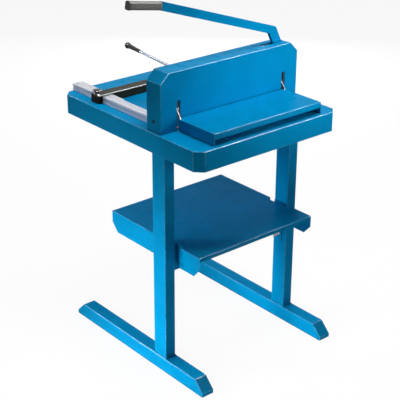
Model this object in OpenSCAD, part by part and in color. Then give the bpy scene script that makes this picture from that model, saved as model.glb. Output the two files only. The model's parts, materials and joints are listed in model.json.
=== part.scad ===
// Stack paper cutter with a hinged front cover, on a stand with a shelf
// X runs to the operator's right, Y to the back and Z up, and the floor is at zero

/* [Table] */
// Length that the table stands out past the housing at each side
table_edge = 9; // [4:0.5:16]
// Depth of the table, front to back
table_d = 692; // [660:1:740]
// Height of the table's surface above the floor
table_h = 820; // [760:1:860]
// Depth of the folded skirt round the table
table_skirt = 64; // [50:1:75]
// Length that each upright corner of the table is cut back by
table_corner = 25; // [15:1:35]
// Thickness of the table's sheet steel
table_sheet = 3; // [2:0.5:4]

/* [Housing] */
// Width of each end of the housing, beside the throat
end_w = 56.5; // [56:0.25:60]
// Depth of the housing
house_d = 68; // [67:0.5:72]
// Height of the housing above the table
house_h = 185; // [183:1:200]
// Length of the sloped shoulders at both ends of the housing's top
house_edge = 30; // [20:1:32]
// Thickness of the housing's sheet steel
house_sheet = 2; // [1.5:0.5:2]
// Depth of the table in front of the housing
front_table = 184; // [174:1:196]
// Diameter of the access hole in each end of the housing
end_hole_d = 13; // [8:0.5:16]
// Height of the access holes above the table
end_hole_z = 33; // [25:1:45]

/* [Throat] */
// Clear width between the two end frames
throat_w = 445; // [443:0.5:447]
// Height that a stack can have under the raised clamp bar
stack_h = 40; // [30:1:42]
// Height of the opening in the housing's front, behind the cover
front_gap_h = 36; // [30:1:38]
// Height of the opening in the housing's back
back_gap_h = 46; // [42:1:52]

/* [Front cover] */
// Length that the cover is narrower than the throat at each end
cover_in = 3.5; // [2.5:0.25:6]
// Offset of the front cover to the right of the housing's middle
cover_shift = 4; // [0:0.5:4]
// Reach of the front cover out of the housing's front
cover_d = 168; // [150:1:176]
// Height of the cover's top above the table
cover_h = 38; // [36:0.5:40]
// Thickness of the cover's sheet steel
cover_sheet = 1.5; // [1:0.25:2]
// Depth of the lip that is folded down along the cover's front
cover_lip = 18; // [12:1:24]
// Width of the slots that the cover's arms swing in
arm_slot_w = 11; // [9:0.5:12]
// Height of the top of these slots above the table
arm_slot_h = 94; // [88:1:100]
// Thickness of the cover's arms
arm_t = 3.5; // [3:0.5:4]
// Width of the cover's arms
arm_w = 8; // [6:0.5:11]
// Diameter of the cover's pivot pins
cover_pin_d = 7; // [5:0.5:7.5]
// Distance of the pivot pins behind the housing's front face
cover_pin_in = 10.5; // [10:0.25:11]
// Height of the pivot pins above the cover's top
cover_pin_up = 25.6; // [22:0.2:28]

/* [Blade] */
// Drop of the blade from raised to cut
blade_stroke = 45; // [40:0.5:45]
// Slope of the blade's path away from upright, in degrees
blade_slope = 12; // [8:0.5:12]
// Length that the blade reaches past the throat at each end
blade_over = 1.5; // [0.5:0.25:2.5]
// Height of the blade
blade_h = 80; // [70:1:82]
// Thickness of the blade
blade_t = 7; // [6:0.5:7]
// Height of the ground bevel at the blade's edge
blade_bevel = 14; // [10:0.5:20]
// Height of the blade carrier
carrier_h = 71; // [66:1:72]
// Thickness of the blade carrier
carrier_t = 5.5; // [5:0.5:6]
// Diameter of the guide pins at the carrier's ends
guide_pin_d = 12; // [8:0.5:12]
// Width of the cutting stick in the table
stick_w = 10; // [8:0.5:12]
// Height of the cutting stick
stick_h = 9; // [6:0.5:10]

/* [Blade lever] */
// Turn of the blade lever from raised to cut, in degrees
lever_swing = 18; // [17:0.25:19]
// Distance of the lever's pivot from the throat's right end
lever_out = 24.5; // [20:0.5:27]
// Height of the lever's pivot above the table
lever_z = 130; // [126:1:132]
// Lean of the lever's stem from upright, in degrees
stem_lean = 26.7; // [25:0.1:29]
// Length of the stem from the pivot to the elbow
stem_l = 110.7; // [105:0.1:125]
// Width of the stem
stem_w = 32; // [28:0.5:34]
// Rise of the lever's arm above level when it is raised, in degrees
arm_rise = 18.6; // [18:0.1:22]
// Length of the arm from the elbow to the grip
arm_l = 467; // [380:1:500]
// Width of the lever's arm
bar_w = 26; // [22:0.5:30]
// Thickness of the lever's stem and arm
bar_t = 12; // [10:0.5:12]
// Length of the lever's grip
grip_l = 134; // [110:1:150]
// Height of the lever's grip
grip_h = 25; // [22:0.5:30]
// Angle that the grip is bent down from the arm, in degrees
grip_bend = 9; // [0:0.5:12]
// Diameter of the lever's axle
axle_d = 18; // [14:0.5:20]

/* [Clamp] */
// Turn of the clamp lever from open to clamped, in degrees
clamp_swing = 75; // [60:1:76]
// Module of the clamp's rack and toothed sector
tooth_module = 2; // [1.8:0.05:2]
// Number of teeth that a full wheel of the sector's size would have
sector_teeth = 26; // [24:1:26]
// Distance of the clamp shaft behind the housing's back
shaft_out = 15; // [14:0.25:17]
// Height of the clamp shaft above the table
shaft_z = 141; // [136:1:142]
// Diameter of the clamp shaft
shaft_d = 14; // [10:0.5:14]
// Distance of the racks from the throat's ends
rack_end = 32.5; // [27:0.5:42]
// Width of each rack and sector
rack_w = 12; // [8:0.5:14]
// Distance of the clamp lever to the left of the middle
clamp_lever_x = 125; // [118:1:150]
// Length of the clamp lever from the shaft to the end of its grip
clamp_lever_l = 292; // [200:1:300]
// Rise of the clamp lever above level when it is open, in degrees
clamp_lever_rise = 4.4; // [0:0.2:10]
// Diameter of the clamp lever's rod
rod_d = 9; // [7:0.5:11]
// Length of the clamp lever's grip
clamp_grip_l = 58; // [45:1:80]
// Diameter of the ball at the end of that grip
ball_d = 21; // [17:0.5:26]

/* [Side guide and back gauge] */
// Distance of the side guide from the table's left edge
guide_in = 42; // [38:1:46]
// Width of the side guide
guide_w = 38; // [32:1:40]
// Height of the side guide
guide_h = 22; // [18:1:24]
// Length that the side guide stands out past the table's back edge
guide_over = 3; // [0:1:10]
// Place of the back gauge's front face behind the table's middle
gauge_y = 177; // [120:1:220]
// Depth of the back gauge
gauge_d = 42; // [34:1:46]
// Height of the back gauge's top above the table
gauge_h = 26.5; // [26:0.5:32]
// Gap between the back gauge's right end and the line of the throat's end
gauge_short = 2.5; // [2:0.5:40]
// Diameter of the gauge's clamping knob
knob_d = 30; // [24:0.5:34]
// Height of the knob's top above the table
knob_h = 43; // [40:0.5:48]

/* [Stand] */
// Distance of each leg from the table's side edge
leg_in = 25; // [24:0.5:30]
// Distance of the columns behind the housing's front face
leg_back = 11.5; // [8:0.5:16]
// Width of the column tubes
column_w = 38; // [30:1:40]
// Depth of the column tubes
column_d = 60; // [50:1:70]
// Wall of the column and foot tubes
tube_wall = 3; // [2:0.5:4]
// Width of the feet
foot_w = 46; // [40:1:50]
// Height of the feet
foot_h = 50; // [40:1:60]
// Length of the feet
foot_l = 685; // [600:1:720]
// Distance of the middle of the feet behind the columns
foot_back = 126; // [100:1:150]
// Height of the upright toe at both ends of the feet
toe_h = 13; // [8:1:20]

/* [Shelf] */
// Gap between the shelf's sides and the columns
shelf_side = 4; // [2:0.5:9]
// Depth of the shelf
shelf_d = 452; // [400:1:470]
// Distance of the middle of the shelf behind the columns
shelf_back = 79.5; // [60:0.5:90]
// Height of the shelf's top above the floor
shelf_z = 448; // [380:1:500]
// Thickness of the shelf's sheet steel
shelf_sheet = 1.5; // [1:0.25:2]
// Depth of the shelf's side flanges at the front and back
flange_end = 39; // [30:1:46]
// Depth of the shelf's side flanges along the middle
flange_mid = 71; // [60:1:80]
// Length of the sloped corners of the side flanges
flange_run = 29; // [20:1:40]
// Depth of the lip along the shelf's front and back
shelf_lip = 13.5; // [10:0.5:20]
// Depth of the notch round each column
notch_in = 14; // [10:1:16]
// Room in front of and behind each column in its notch
notch_room = 18; // [6:1:24]

/* [Hidden] */
$fn = 13;

// Floor point under the middle of the whole object, lever and grips included
origin_x = -46;
origin_y = -9;

// Overrun of every cut
cut = 1;
// Gap between sheet metal and what stands inside it
sheet_gap = 0.5;
// Gap between faces that slide past each other
slide_gap = 0.3;
// Radial clearance of a pin that turns in its bore
run_fit = 0.06;
// Radial clearance of a pin that rolls along a slot
slot_fit = 0.25;
// Radial clearance of a screw in its through hole
screw_gap = 0.3;

// Fasteners
m5_r = 2.5;
m6_r = 3;
m8_r = 4;
m5_head_r = 4.6;
m6_head_r = 5.2;
m8_head_r = 6.5;
m5_head_h = 2.8;
m6_head_h = 3.4;
m8_head_h = 4.5;

// Housing, from its outer faces inwards
house_w = throat_w + 2 * end_w;
table_w = house_w + 2 * table_edge;
house_y0 = front_table - table_d / 2;
house_y1 = house_y0 + house_d;
house_x = house_w / 2;
house_top = table_h + house_h;
house_in = house_sheet + sheet_gap;
frame_y0 = house_y0 + house_in;
frame_y1 = house_y1 - house_in;
frame_x0 = throat_w / 2;
frame_x1 = house_x - house_in;
frame_top_gap = 13;
frame_top = house_top - house_sheet - frame_top_gap;
frame_slope = house_x + house_top - house_edge - house_in * sqrt(2);
frame_wall = 9;
frame_back = 12.5;
frame_floor = 10;
frame_floor_in = 13.5;
frame_in0 = frame_y0 + frame_wall;
beam_y0 = frame_y1 - frame_back;
frame_in_x = frame_x1 - frame_wall;

// Blade, carrier and lever lie one behind the other
blade_gap = 5;
blade_y0 = frame_in0 + blade_gap;
blade_y1 = blade_y0 + blade_t;
carrier_y1 = blade_y1 + carrier_t;
lever_gap = 2;
lever_y0 = carrier_y1 + lever_gap;
lever_y1 = lever_y0 + bar_t;

// The blade's path, seen from the front
blade_l = throat_w + 2 * blade_over;
blade_shift = blade_stroke * tan(blade_slope);
blade_rest_gap = 0.5;
edge_z = table_h + blade_stroke + blade_rest_gap;
blade_x = blade_shift;
lever_x = frame_x0 + lever_out;
pivot_z = table_h + lever_z;
crank_r = blade_stroke / 2 / sin(lever_swing / 2);
crank_pin_r = 6;
crank_pin_x = lever_x - crank_r * cos(lever_swing / 2);
crank_pin_z = pivot_z + blade_stroke / 2;
crank_pin_in = 9;
crank_head_r = 8;
crank_head_h = 2;
roller_r = 9;
roller_over = 0.5;
roller_play = 1;
crank_end_r = 13;
crank_over = 1.5;
crank_half = crank_end_r - crank_over;
hub_over = 2;
hub_r = stem_w / 2 + hub_over;
axle_r = axle_d / 2;
axle_collar_r = 14;
axle_end = 1.5;
ring_r = 12.5;
ring_groove = 1;
ring_t = 1;
end_play = 0.2;

// Carrier
carrier_over_pin = 17.5;
carrier_top = crank_pin_z + carrier_over_pin;
carrier_z0 = carrier_top - carrier_h;
carrier_corner = 13;
carrier_end = 8.5;
blade_bolts_up = 13;
blade_bolt_pitch = 117;
blade_bolt_count = 4;
blade_head_r = 7.5;

// Guide pins at the carrier's ends, two to a side, on the line of the slope
guide_r = guide_pin_d / 2;
pin_spigot_r = 4;
pin_up = 16;
pin_step = 40;
pin_low_z = carrier_z0 + pin_up;
pin_lean = pin_step * tan(blade_slope);
pin_middle_x = 2.8;
pin_reach = 20.9;
pin_reach_x = frame_x0 + pin_reach;
pin_tip_gap = 1;
right_pin_x = pin_middle_x + pin_reach_x;
left_pin_x = pin_middle_x - pin_reach_x;

// Cover and its pivot
cover_gap = 0.5;
cover_y1 = house_y0 - cover_gap;
cover_y0 = house_y0 - cover_d;
cover_z1 = table_h + cover_h;
cover_z0 = table_h + cover_gap;
cover_w = throat_w - 2 * cover_in;
cover_x0 = cover_shift - cover_w / 2;
cover_x1 = cover_shift + cover_w / 2;
arm_right = cover_x1 - cover_sheet;
arm_left = -cover_x0 - cover_sheet;
arm_slot_over = 2;
cover_pin_r = cover_pin_d / 2;
cover_pin_y = house_y0 + cover_pin_in;
cover_pin_z = cover_z1 + cover_pin_up;
cover_pin_head_r = 5;
cover_pin_head_h = 2.5;
cover_pin_depth = 6;
pin_boss_r = 6;
pin_boss_depth = 6;
eye_r = 5.3;
arm_angle = 55.6;
arm_leg_down = 8;
arm_leg_z = cover_z1 - arm_leg_down;
arm_leg_drop = cover_pin_z - arm_leg_z;
arm_bend_y = cover_pin_y - arm_leg_drop / tan(arm_angle);
arm_leg_l = 52;
arm_notch_w = 4.5;
arm_notch_l = 13;
rivet_r = 2.5;
rivet_head_r = 4;
rivet_head_h = 1.2;
rivet_step = 16;

// Lever's centre line, from its pivot to the end of its grip
arm_angle_up = 180 - arm_rise;
grip_angle = arm_angle_up + grip_bend;
lever_p = [lever_x, pivot_z];
lever_e = lever_p + stem_l * [-sin(stem_lean), cos(stem_lean)];
lever_f = lever_e + arm_l * [cos(arm_angle_up), sin(arm_angle_up)];
bend_l = 3;
lever_g = lever_f + bend_l * [cos(grip_angle), sin(grip_angle)];
tang_l = 100;
tang_w = 16;
lever_t = lever_g + tang_l * [cos(grip_angle), sin(grip_angle)];
crank_c = [crank_pin_x, crank_pin_z];
stem_left = left_of(lever_e - lever_p);
grip_left = left_of(lever_g - lever_f);
elbow_r = 8;
elbow_steps = 5;
elbow_c = corner(lever_p, lever_e, lever_f, elbow_r - stem_w / 2, elbow_r - bar_w / 2);
elbow_from = arm_angle_up - 90;
elbow_turn = (stem_lean - elbow_from) / elbow_steps;
elbow_arc = [for (i = [0:elbow_steps]) let (a = elbow_from + elbow_turn * i)
    elbow_c + elbow_r * [cos(a), sin(a)]];
grip_w = 22;
grip_round = 7;
cap_l = 5;
cap_over = 1;

// Opening in the housing's top for the lever
top_slot_l = 88;
top_slot_in = 7.5;
top_slot_x1 = lever_x - top_slot_in;
top_slot_x0 = top_slot_x1 - top_slot_l;
top_slot_gap = 2;

// Clamp shaft, racks and bar
rack_x = frame_x0 - rack_end;
shaft_r = shaft_d / 2;
shaft_y = house_y1 + shaft_out;
shaft_h = table_h + shaft_z;
pitch_r = tooth_module * sector_teeth / 2;
pressure_angle = 20;
base_r = pitch_r * cos(pressure_angle);
tip_r = pitch_r + tooth_module;
root_share = 1.25;
root_r = pitch_r - root_share * tooth_module;
tooth_pitch = PI * tooth_module;
tooth_step = 360 / sector_teeth;
tooth_play = 0.12;
teeth_below = 1;
teeth_above = ceil(clamp_swing / tooth_step);
flank_steps = 2;
rack_line_y = shaft_y - pitch_r;
rack_tip_y = rack_line_y + tooth_module;
rack_root_y = rack_line_y - root_share * tooth_module;
rack_back = 6;
rack_y0 = rack_root_y - rack_back;
rack_rows_below = 2;
rack_rows_above = teeth_above - 1;
clamp_z0 = table_h + stack_h;
clamp_foot_h = 12;
clamp_foot_z = clamp_z0 + clamp_foot_h;
clamp_web_t = 8;
clamp_web_h = 42;
clamp_end_gap = 1.5;
clamp_x = frame_x0 - clamp_end_gap;
clamp_blade_gap = 0.8;
clamp_y0 = blade_y1 + clamp_blade_gap;
clamp_back_gap = 2;
clamp_y1 = house_y1 - house_sheet - clamp_back_gap;
beam_up = 4;
beam_z0 = clamp_z0 + clamp_web_h + beam_up;
beam_h = 24;
frame_bolt_in = 22;
frame_bolt_edge = 6;
window_w = 18;
window_gap = 2;
sector_hub_r = 12;

// Bearings of the clamp shaft, on the housing's back
bearing_w = 14;
bearing_r = 13;
bearing_base = 10;
bearing_side = 22;
bearing_middle = 95;
bearing_x = [-rack_x - bearing_side, -bearing_middle, rack_x + bearing_side];
bearing_bolt_z = beam_z0 + beam_h / 2;
bearing_bolt_in = 10;
bearing_foot_h = 16;
bearing_x1 = bearing_x[2] + bearing_w / 2;
shaft_collar_l = 6;
shaft_x1 = bearing_x1 + shaft_collar_l;
shaft_collar_r = 10;
shaft_collar_gap = 0.3;

// Clamp lever and its grip
clamp_hub_r = 12.5;
clamp_hub_w = 18;
rod_r = rod_d / 2;
rod_in = 30;
grip_neck_r = 6;
ball_r = ball_d / 2;
ball_from = -42;
ball_to = 90;
ball_steps = 7;
clamp_grip_y = clamp_lever_l - clamp_grip_l;

// Side guide
guide_x = table_w / 2 - guide_in;
guide_y0 = house_y1 + sheet_gap;
guide_y1 = table_d / 2 + guide_over;
guide_wide_l = 234;
guide_step_y = guide_y1 - guide_wide_l;
guide_step = 5;
guide_z1 = table_h + guide_h;
groove_w = 2.6;
groove_up = 10;
groove_neck = 3;
groove_deep = 4;
groove_wide = 2.5;
guide_wall = 3.5;
guide_bore_x0 = 11;
ridge_in = 4;
ridge_w = 3;
ridge_h = 0.8;
guide_screw_shares = [0.075, 0.48, 0.89];
guide_screw_y = [for (s = guide_screw_shares) guide_y0 + s * (guide_y1 - guide_y0)];
guide_screw_in = 22;

// Back gauge
gauge_y1 = gauge_y + gauge_d;
gauge_z1 = table_h + gauge_h;
gauge_under = 1;
gauge_z_under = guide_z1 + gauge_under;
gauge_out = 17;
gauge_floor_gap = 0.5;
gauge_beside = 3;
gauge_x1 = -guide_x + guide_w + gauge_beside;
gauge_l = frame_x0 - gauge_short - gauge_x1;
gauge_hollow = 4;
strip_w = 6;
strip_t = 1;
strip_in = 0.4;
strip_x0 = -guide_x - gauge_out;
tongue_gap = 0.3;
block_up = 1;
block_z0 = table_h + block_up;
knob_r = knob_d / 2;
knob_z1 = table_h + knob_h;
knob_disc_h = 6;
knob_neck_r = 7;
knob_gap = 0.3;
knob_stem_r = 4;
knob_stem_l = 16;
knob_stem_in = 3;
knob_out = 8;
knob_x = -guide_x - knob_out;
knob_y = gauge_y + gauge_d / 2;
gauge_screw_in = 11.2;

// Stand
leg_x = table_w / 2 - leg_in;
leg_y = -house_y0 - leg_back;
foot_y = leg_y - foot_back;
plate_t = 6;
plate_in = 4;
plate_out = 2;
plate_front = 24.5;
plate_rear = 30.5;
column_top = table_h - table_sheet - plate_t;
column_y0 = -leg_y - column_d / 2;
column_y1 = -leg_y + column_d / 2;
column_x0 = leg_x - column_w / 2;
column_x1 = leg_x + column_w / 2;
plate_x0 = column_x0 - plate_in;
plate_x1 = column_x1 + plate_out;
plate_y0 = column_y0 - plate_front;
plate_y1 = column_y1 + plate_rear;
foot_run = foot_h - toe_h;
shelf_x = column_x0 - shelf_side;
shelf_w = 2 * shelf_x;
shelf_y = leg_y - shelf_back;
shelf_y0 = -shelf_y - shelf_d / 2;
shelf_y1 = -shelf_y + shelf_d / 2;
shelf_z0 = shelf_z - shelf_sheet;
notch_y0 = column_y0 - notch_room;
notch_y1 = column_y1 + notch_room;
bracket_t = 4;
beam_w = 30;
beam_drop = 94;
cross_z0 = shelf_z0 - beam_drop;
cross_y0 = -leg_y - beam_w / 2;
cross_y1 = -leg_y + beam_w / 2;
bracket_x0 = column_x0 - bracket_t;
bracket_side = 5;
bracket_step = 10;
bracket_edge = 1.5;
bracket_drop = 50;
bracket_at = [[22, 40], [12.5, 31], [1, 23.5]];
bracket_screw_in = 10;

// Table slot, bolts and other small things
socket_share = 0.95;
stick_over = 9.5;
stick_x = frame_x0 + stick_over;
stick_gap = 0.15;
stick_y0 = blade_y1 - stick_w / 2 - stick_gap;
stick_y1 = blade_y1 + stick_w / 2 + stick_gap;
frame_bolt_y = frame_y1 - frame_back / 2;
frame_bolt_out = [39.5, 7.5];
frame_bolt_at = [for (x = frame_bolt_out) [frame_x0 + x, frame_bolt_y]];
plate_bolt_in = 10;
plate_bolt_y = plate_y0 + plate_bolt_in;
stud_skin = 1;
channel_t = 2.5;
end_hole_in = 36;
end_hole_y = house_y0 + end_hole_in;
housing_screw_side = 30;
housing_screw_up = [25, 156];
housing_screw_at = [for (z = housing_screw_up) [house_x - housing_screw_side, table_h + z]];
housing_screw_in = 10;
frame_bolt_z = [beam_z0 + frame_bolt_edge, beam_z0 + beam_h - frame_bolt_edge];
frame_bolt_up = 16;
ring_mouth = 11;
crank_side = left_of(crank_c - lever_p);
blade_bolt_x = [for (i = [0:blade_bolt_count - 1])
    blade_x + blade_bolt_pitch * (i - (blade_bolt_count - 1) / 2)];
blade_land = 0.4;
socket_deep = 4;
rack_screw_y = (rack_y0 + rack_tip_y) / 2;
rack_screw_in = 14;
rack_teeth_z0 = shaft_h - tooth_pitch * rack_rows_below;
rack_top = shaft_h + tooth_pitch * (rack_rows_above + 1) - end_play;
m5_socket_deep = 2;
sector_a0 = 180 - tooth_step * (teeth_above + 1 / 2);
sector_a1 = 180 + tooth_step * (teeth_below + 1 / 2);
sector_steps = 9;
ball_z = clamp_grip_l - ball_r;
gauge_screw_y = [gauge_y + gauge_screw_in, gauge_y1 - gauge_screw_in];
gauge_screw_deep = 9;
knob_base_z = gauge_z1 + knob_gap;
knob_disc_z = knob_z1 - knob_disc_h;
knob_shares = [[0.55, -0.35], [0.93, 0.05], [1, 0.3], [1, 0.55], [0.92, 0.8], [0.6, 0.97], [0, 1]];

module placed() translate([-origin_x, -origin_y, 0]) children();

module both_sides() {
    children();
    mirror([1, 0, 0]) children();
}

// Draws the cover's fittings at the right, then those at the left, whose arm stands elsewhere
module both_arms() {
    arm_side(arm_right) children();
    mirror([1, 0, 0]) arm_side(arm_left) children();
}

module arm_side(x) {
    $arm_x1 = x;
    $arm_x0 = x - arm_t;
    children();
}

module block(low, high) translate(low) cube(high - low);

// Bars along X, Y and Z from a starting point
module rod_x(at, r, l) translate(at) rotate([0, 90, 0]) cylinder(r = r, h = l);
module rod_y(at, r, l) translate(at) rotate([-90, 0, 0]) cylinder(r = r, h = l);
module rod_z(at, r, l) translate(at) cylinder(r = r, h = l);

// An outline drawn in X and Z, made solid from y0 to y1
module slab_y(y0, y1) translate([0, y1, 0]) rotate([90, 0, 0]) linear_extrude(y1 - y0) children();

// An outline drawn in Y and Z, made solid from x0 to x1
module slab_x(x0, x1) translate([x0, 0, 0]) rotate([90, 0, 90]) linear_extrude(x1 - x0) children();

// A straight slot through y0 to y1 between two points of X and Z
module slot_y(a, b, r, y0, y1) {
    v = b - a;
    rod_y([a[0], y0, a[1]], r, y1 - y0);
    rod_y([b[0], y0, b[1]], r, y1 - y0);
    slab_y(y0, y1) polygon([a + r * left_of(v), a - r * left_of(v), b - r * left_of(v),
        b + r * left_of(v)]);
}

function left_of(v) = [-v[1], v[0]] / norm(v);

// The point near p where two lines meet, one beside a to p and one beside p to b
function corner(a, p, b, off_a, off_b) = let (m = left_of(p - a), n = left_of(b - p))
    p + [off_a * n[1] - off_b * m[1], off_b * m[0] - off_a * n[0]] / cross(m, n);

// A flat bar along three points, with a sharp corner at the middle one
module bent_bar(a, b, c, half) polygon([
    a + half * left_of(b - a), corner(a, b, c, half, half), c + half * left_of(c - b),
    c - half * left_of(c - b), corner(a, b, c, -half, -half), a - half * left_of(b - a)
]);

// Table corners and other plates with four corners cut off
module cut_plate(w, d, c) polygon([
    [-w / 2, -d / 2 + c], [-w / 2 + c, -d / 2], [w / 2 - c, -d / 2], [w / 2, -d / 2 + c],
    [w / 2, d / 2 - c], [w / 2 - c, d / 2], [-w / 2 + c, d / 2], [-w / 2, d / 2 - c]
]);

// A socket head screw that points down from where its head sits
module screw(r, l, head_r, head_h) {
    translate([0, 0, -l]) cylinder(r = r, h = l);
    difference() {
        cylinder(r = head_r, h = head_h);
        translate([0, 0, head_h / 2]) cylinder(r = r * socket_share, h = head_h, $fn = 6);
    }
}

// A hexagon head bolt, placed in the same way
module bolt(r, l, head_r, head_h) {
    translate([0, 0, -l]) cylinder(r = r, h = l);
    cylinder(r = head_r, h = head_h, $fn = 6);
}

// A countersunk screw that points down from its flat head
module flat_screw(r, l, head_r) {
    translate([0, 0, -l]) cylinder(r = r, h = l);
    translate([0, 0, r - head_r]) cylinder(r1 = r, r2 = head_r, h = head_r - r);
}

module table_top() placed() color("SteelBlue") difference() {
    translate([0, 0, table_h - table_skirt]) linear_extrude(table_skirt)
        cut_plate(table_w, table_d, table_corner);
    translate([0, 0, table_h - table_skirt - cut]) linear_extrude(table_skirt - table_sheet + cut)
        cut_plate(table_w - 2 * table_sheet, table_d - 2 * table_sheet,
            table_corner - table_sheet * (2 - sqrt(2)));
    block([-stick_x, stick_y0, table_h - table_sheet - cut], [stick_x, stick_y1, table_h + cut]);
    both_sides() for (p = frame_bolt_at)
        rod_z([p[0], p[1], table_h - table_sheet - cut], m8_r + screw_gap, table_sheet + 2 * cut);
    both_sides() rod_z([leg_x, plate_bolt_y, table_h - table_sheet - cut], m6_r,
        table_sheet - stud_skin + cut);
    for (y = guide_screw_y)
        rod_z([guide_screw_in - guide_x, y, table_h - table_sheet - cut], m5_r + screw_gap,
            table_sheet + 2 * cut);
}

module cutting_stick() placed() color("Gold")
    block([stick_gap - stick_x, stick_y0 + stick_gap, table_h - stick_h],
        [stick_x - stick_gap, stick_y1 - stick_gap, table_h]);

module stick_channel() placed() color("DimGray") difference() {
    block([-stick_x, stick_y0 - channel_t, table_h - stick_h - channel_t],
        [stick_x, stick_y1 + channel_t, table_h - table_sheet]);
    block([-stick_x - cut, stick_y0, table_h - stick_h], [stick_x + cut, stick_y1, table_h]);
}

module house_outline(inset) polygon([
    [inset - house_x, table_h - cut * sign(inset)],
    [inset - house_x, house_top - house_edge - inset * (sqrt(2) - 1)],
    [inset * (sqrt(2) - 1) - house_x + house_edge, house_top - inset],
    [house_x - house_edge - inset * (sqrt(2) - 1), house_top - inset],
    [house_x - inset, house_top - house_edge - inset * (sqrt(2) - 1)],
    [house_x - inset, table_h - cut * sign(inset)]
]);

module housing_shell() placed() color("DodgerBlue") difference() {
    slab_y(house_y0, house_y1) house_outline(0);
    slab_y(house_y0 + house_sheet, house_y1 - house_sheet) house_outline(house_sheet);
    // Throat in front and behind
    block([-arm_left - arm_slot_over, house_y0 - cut, table_h - cut],
        [arm_right + arm_slot_over, house_y0 + house_sheet + cut, table_h + front_gap_h]);
    block([-frame_x0, house_y1 - house_sheet - cut, table_h - cut],
        [frame_x0, house_y1 + cut, table_h + back_gap_h]);
    // Slots for the cover's arms
    both_arms() block([$arm_x1 + arm_slot_over - arm_slot_w, house_y0 - cut, table_h],
        [$arm_x1 + arm_slot_over, house_y0 + house_sheet + cut, table_h + arm_slot_h]);
    // Slot for the blade lever
    block([top_slot_x0, lever_y0 - top_slot_gap, house_top - house_sheet - cut],
        [top_slot_x1, lever_y1 + top_slot_gap, house_top + cut]);
    // Windows for the toothed sectors
    both_sides()
        block([rack_x - window_w / 2, house_y1 - house_sheet - cut, shaft_h - tip_r - window_gap],
            [rack_x + window_w / 2, house_y1 + cut, shaft_h + tip_r + window_gap]);
    rod_x([-house_x - cut, end_hole_y, table_h + end_hole_z], end_hole_d / 2, house_w + 2 * cut);
    for (x = bearing_x) rod_y([x, house_y1 - house_sheet - cut, bearing_bolt_z], m6_r + screw_gap,
        house_sheet + 2 * cut);
    both_sides() for (p = housing_screw_at)
        rod_y([p[0], house_y1 - house_sheet - cut, p[1]], m5_r + screw_gap, house_sheet + 2 * cut);
}

// The right end frame as drawn; the left one is its mirror image with another slot
module end_frame(low_x, high_x, arm, axle) difference() {
    union() {
        difference() {
            slab_y(frame_y0, frame_y1) polygon([
                [frame_x0, table_h], [frame_x1, table_h], [frame_x1, frame_slope - frame_x1],
                [frame_slope - frame_top, frame_top], [frame_x0, frame_top]
            ]);
            block([frame_x0 - cut, frame_in0, table_h + frame_floor],
                [frame_in_x, beam_y0, frame_top + cut]);
            block([frame_x0 - cut, frame_in0, table_h - cut],
                [frame_x0 + frame_floor_in, beam_y0, table_h + frame_floor + cut]);
        }
        rod_x([arm + sheet_gap, cover_pin_y, cover_pin_z], pin_boss_r,
            frame_x0 + pin_boss_depth - arm - sheet_gap);
    }
    slot_y([low_x, pin_low_z - blade_stroke], [high_x, pin_low_z + pin_step],
        guide_r + slot_fit, frame_y0 - cut, frame_in0 + cut);
    rod_x([arm, cover_pin_y, cover_pin_z], cover_pin_r, frame_x0 + cover_pin_depth - arm);
    if (axle) rod_y([lever_x, beam_y0 - cut, pivot_z], axle_r, frame_back + 2 * cut);
    rod_x([frame_in_x - cut, end_hole_y, table_h + end_hole_z], end_hole_d / 2, frame_wall + 2 * cut);
    for (z = frame_bolt_z) {
        rod_x([frame_x0 - cut, frame_bolt_y, z], m6_r, frame_x1 - frame_x0 + 2 * cut);
        rod_x([frame_x1 - m6_head_h, frame_bolt_y, z], m6_head_r + screw_gap, m6_head_h + cut);
    }
    for (p = frame_bolt_at) rod_z([p[0], p[1], table_h - cut], m8_r, frame_bolt_up + cut);
    for (p = housing_screw_at)
        rod_y([p[0], frame_y1 - housing_screw_in, p[1]], m5_r, housing_screw_in + cut);
}

module left_end_frame() placed() color("SlateGray") mirror([1, 0, 0])
    end_frame(blade_shift - left_pin_x, -left_pin_x - pin_lean, arm_left, false);

module right_end_frame() placed() color("SlateGray")
    end_frame(right_pin_x - blade_shift, right_pin_x + pin_lean, arm_right, true);

module frame_beam() placed() color("LightSlateGray") difference() {
    block([-frame_x0, beam_y0, beam_z0], [frame_x0, frame_y1, beam_z0 + beam_h]);
    both_sides() {
        block([rack_x - rack_w / 2 - slide_gap, beam_y0 - cut, beam_z0 - cut],
            [rack_x + rack_w / 2 + slide_gap, rack_tip_y + sheet_gap, beam_z0 + beam_h + cut]);
        for (z = frame_bolt_z)
            rod_x([frame_x0 - frame_bolt_in, frame_bolt_y, z], m6_r, frame_bolt_in + cut);
    }
    for (x = bearing_x) rod_y([x, frame_y1 - bearing_bolt_in, bearing_bolt_z], m6_r,
        bearing_bolt_in + cut);
}

module frame_bolts() placed() color("Silver") both_sides() for (z = frame_bolt_z)
    translate([frame_x1 - m6_head_h, frame_bolt_y, z]) rotate([0, 90, 0])
        bolt(m6_r, frame_x1 - m6_head_h - frame_x0 + frame_bolt_in, m6_head_r, m6_head_h);

module housing_screws() placed() color("Silver") both_sides() for (p = housing_screw_at)
    translate([p[0], house_y1, p[1]]) rotate([-90, 0, 0])
        bolt(m5_r, housing_screw_in + house_in, m5_head_r, m5_head_h);

module lever_axle() placed() color("Silver") difference() {
    union() {
        rod_y([lever_x, lever_y0 - axle_end - end_play, pivot_z], axle_r,
            frame_y1 - lever_y0 + axle_end + end_play);
        rod_y([lever_x, lever_y1 + end_play, pivot_z], axle_collar_r, beam_y0 - lever_y1 - end_play);
    }
    difference() {
        rod_y([lever_x, lever_y0 - end_play - ring_t, pivot_z], axle_collar_r, ring_t);
        rod_y([lever_x, lever_y0 - end_play - ring_t - cut, pivot_z], axle_r - ring_groove,
            ring_t + 2 * cut);
    }
}

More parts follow.
